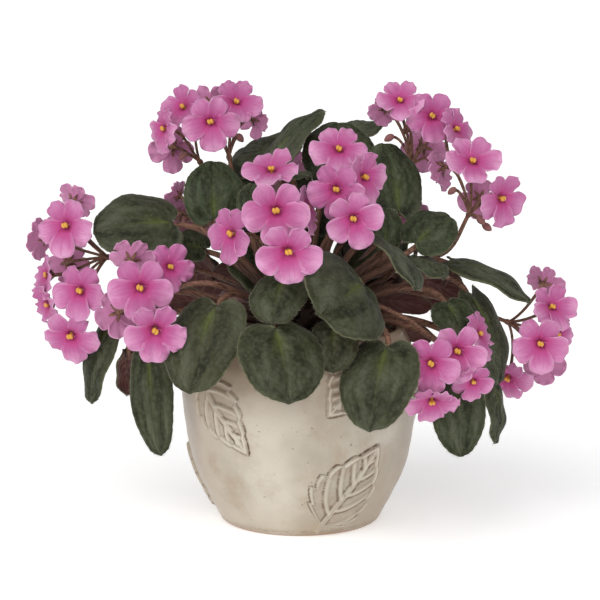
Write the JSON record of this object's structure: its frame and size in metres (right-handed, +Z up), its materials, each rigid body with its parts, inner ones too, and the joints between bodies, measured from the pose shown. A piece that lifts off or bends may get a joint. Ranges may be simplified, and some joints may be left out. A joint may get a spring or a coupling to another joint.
{
  "type": "potted african violet",
  "caption": "African violet in bloom: a mound of hairy round leaves under sprays of five-petalled flowers, in a round-bellied glazed pot with raised leaves.",
  "frame": {"origin": "middle of the pot's flat foot, on the surface that it stands on", "axes": "+Z up; -Y is the front, the side with the most flowers; +X is to the right seen from the front"},
  "size_m": [0.3166, 0.2062, 0.2443],
  "materials": {
    "glaze": "satin",
    "soil": "matte",
    "stem": "satin",
    "leaf": "matte",
    "bloom": "matte"
  },
  "bodies": {
    "root": {"crown": "stem", "leaf_far_left_low": "leaf", "leaf_far_left_upper": "leaf", "leaf_far_middle": "leaf", "leaf_far_middle_low": "leaf", "leaf_far_right": "leaf", "leaf_far_right_upper": "leaf", "leaf_front_left": "leaf", "leaf_front_middle": "leaf", "leaf_front_right": "leaf", "leaf_front_shade": "leaf", "leaf_front_small": "leaf", "leaf_front_top": "leaf", "leaf_left_back": "leaf", "leaf_left_big": "leaf", "leaf_left_low": "leaf", "leaf_left_narrow": "leaf", "leaf_left_round": "leaf", "leaf_left_small": "leaf", "leaf_left_under": "leaf", "leaf_middle_small": "leaf", "leaf_middle_top": "leaf", "leaf_right_back": "leaf", "leaf_right_fold": "leaf", "leaf_right_grey": "leaf", "leaf_right_long": "leaf", "leaf_right_low": "leaf", "leaf_right_narrow": "leaf", "leaf_right_round": "leaf", "leaf_right_shade": "leaf", "leaf_right_small": "leaf", "leaf_right_spike": "leaf", "leaf_right_tall": "leaf", "leaf_top_left": "leaf", "leaf_top_long": "leaf", "leaf_top_middle": "leaf", "leaf_top_right": "leaf", "pot": "glaze", "soil": "soil", "spray_far_left": "bloom", "spray_far_left_high": "bloom", "spray_far_middle_high": "bloom", "spray_far_right": "bloom", "spray_far_right_high": "bloom", "spray_left_bud": "bloom", "spray_left_middle": "bloom", "spray_middle_left": "bloom", "spray_middle_top": "bloom", "spray_right_low": "bloom", "spray_upper_left_inner": "bloom", "spray_upper_left_outer": "bloom", "spray_upper_right_inner": "bloom", "spray_upper_right_outer": "bloom"}
  },
  "joints": []
}
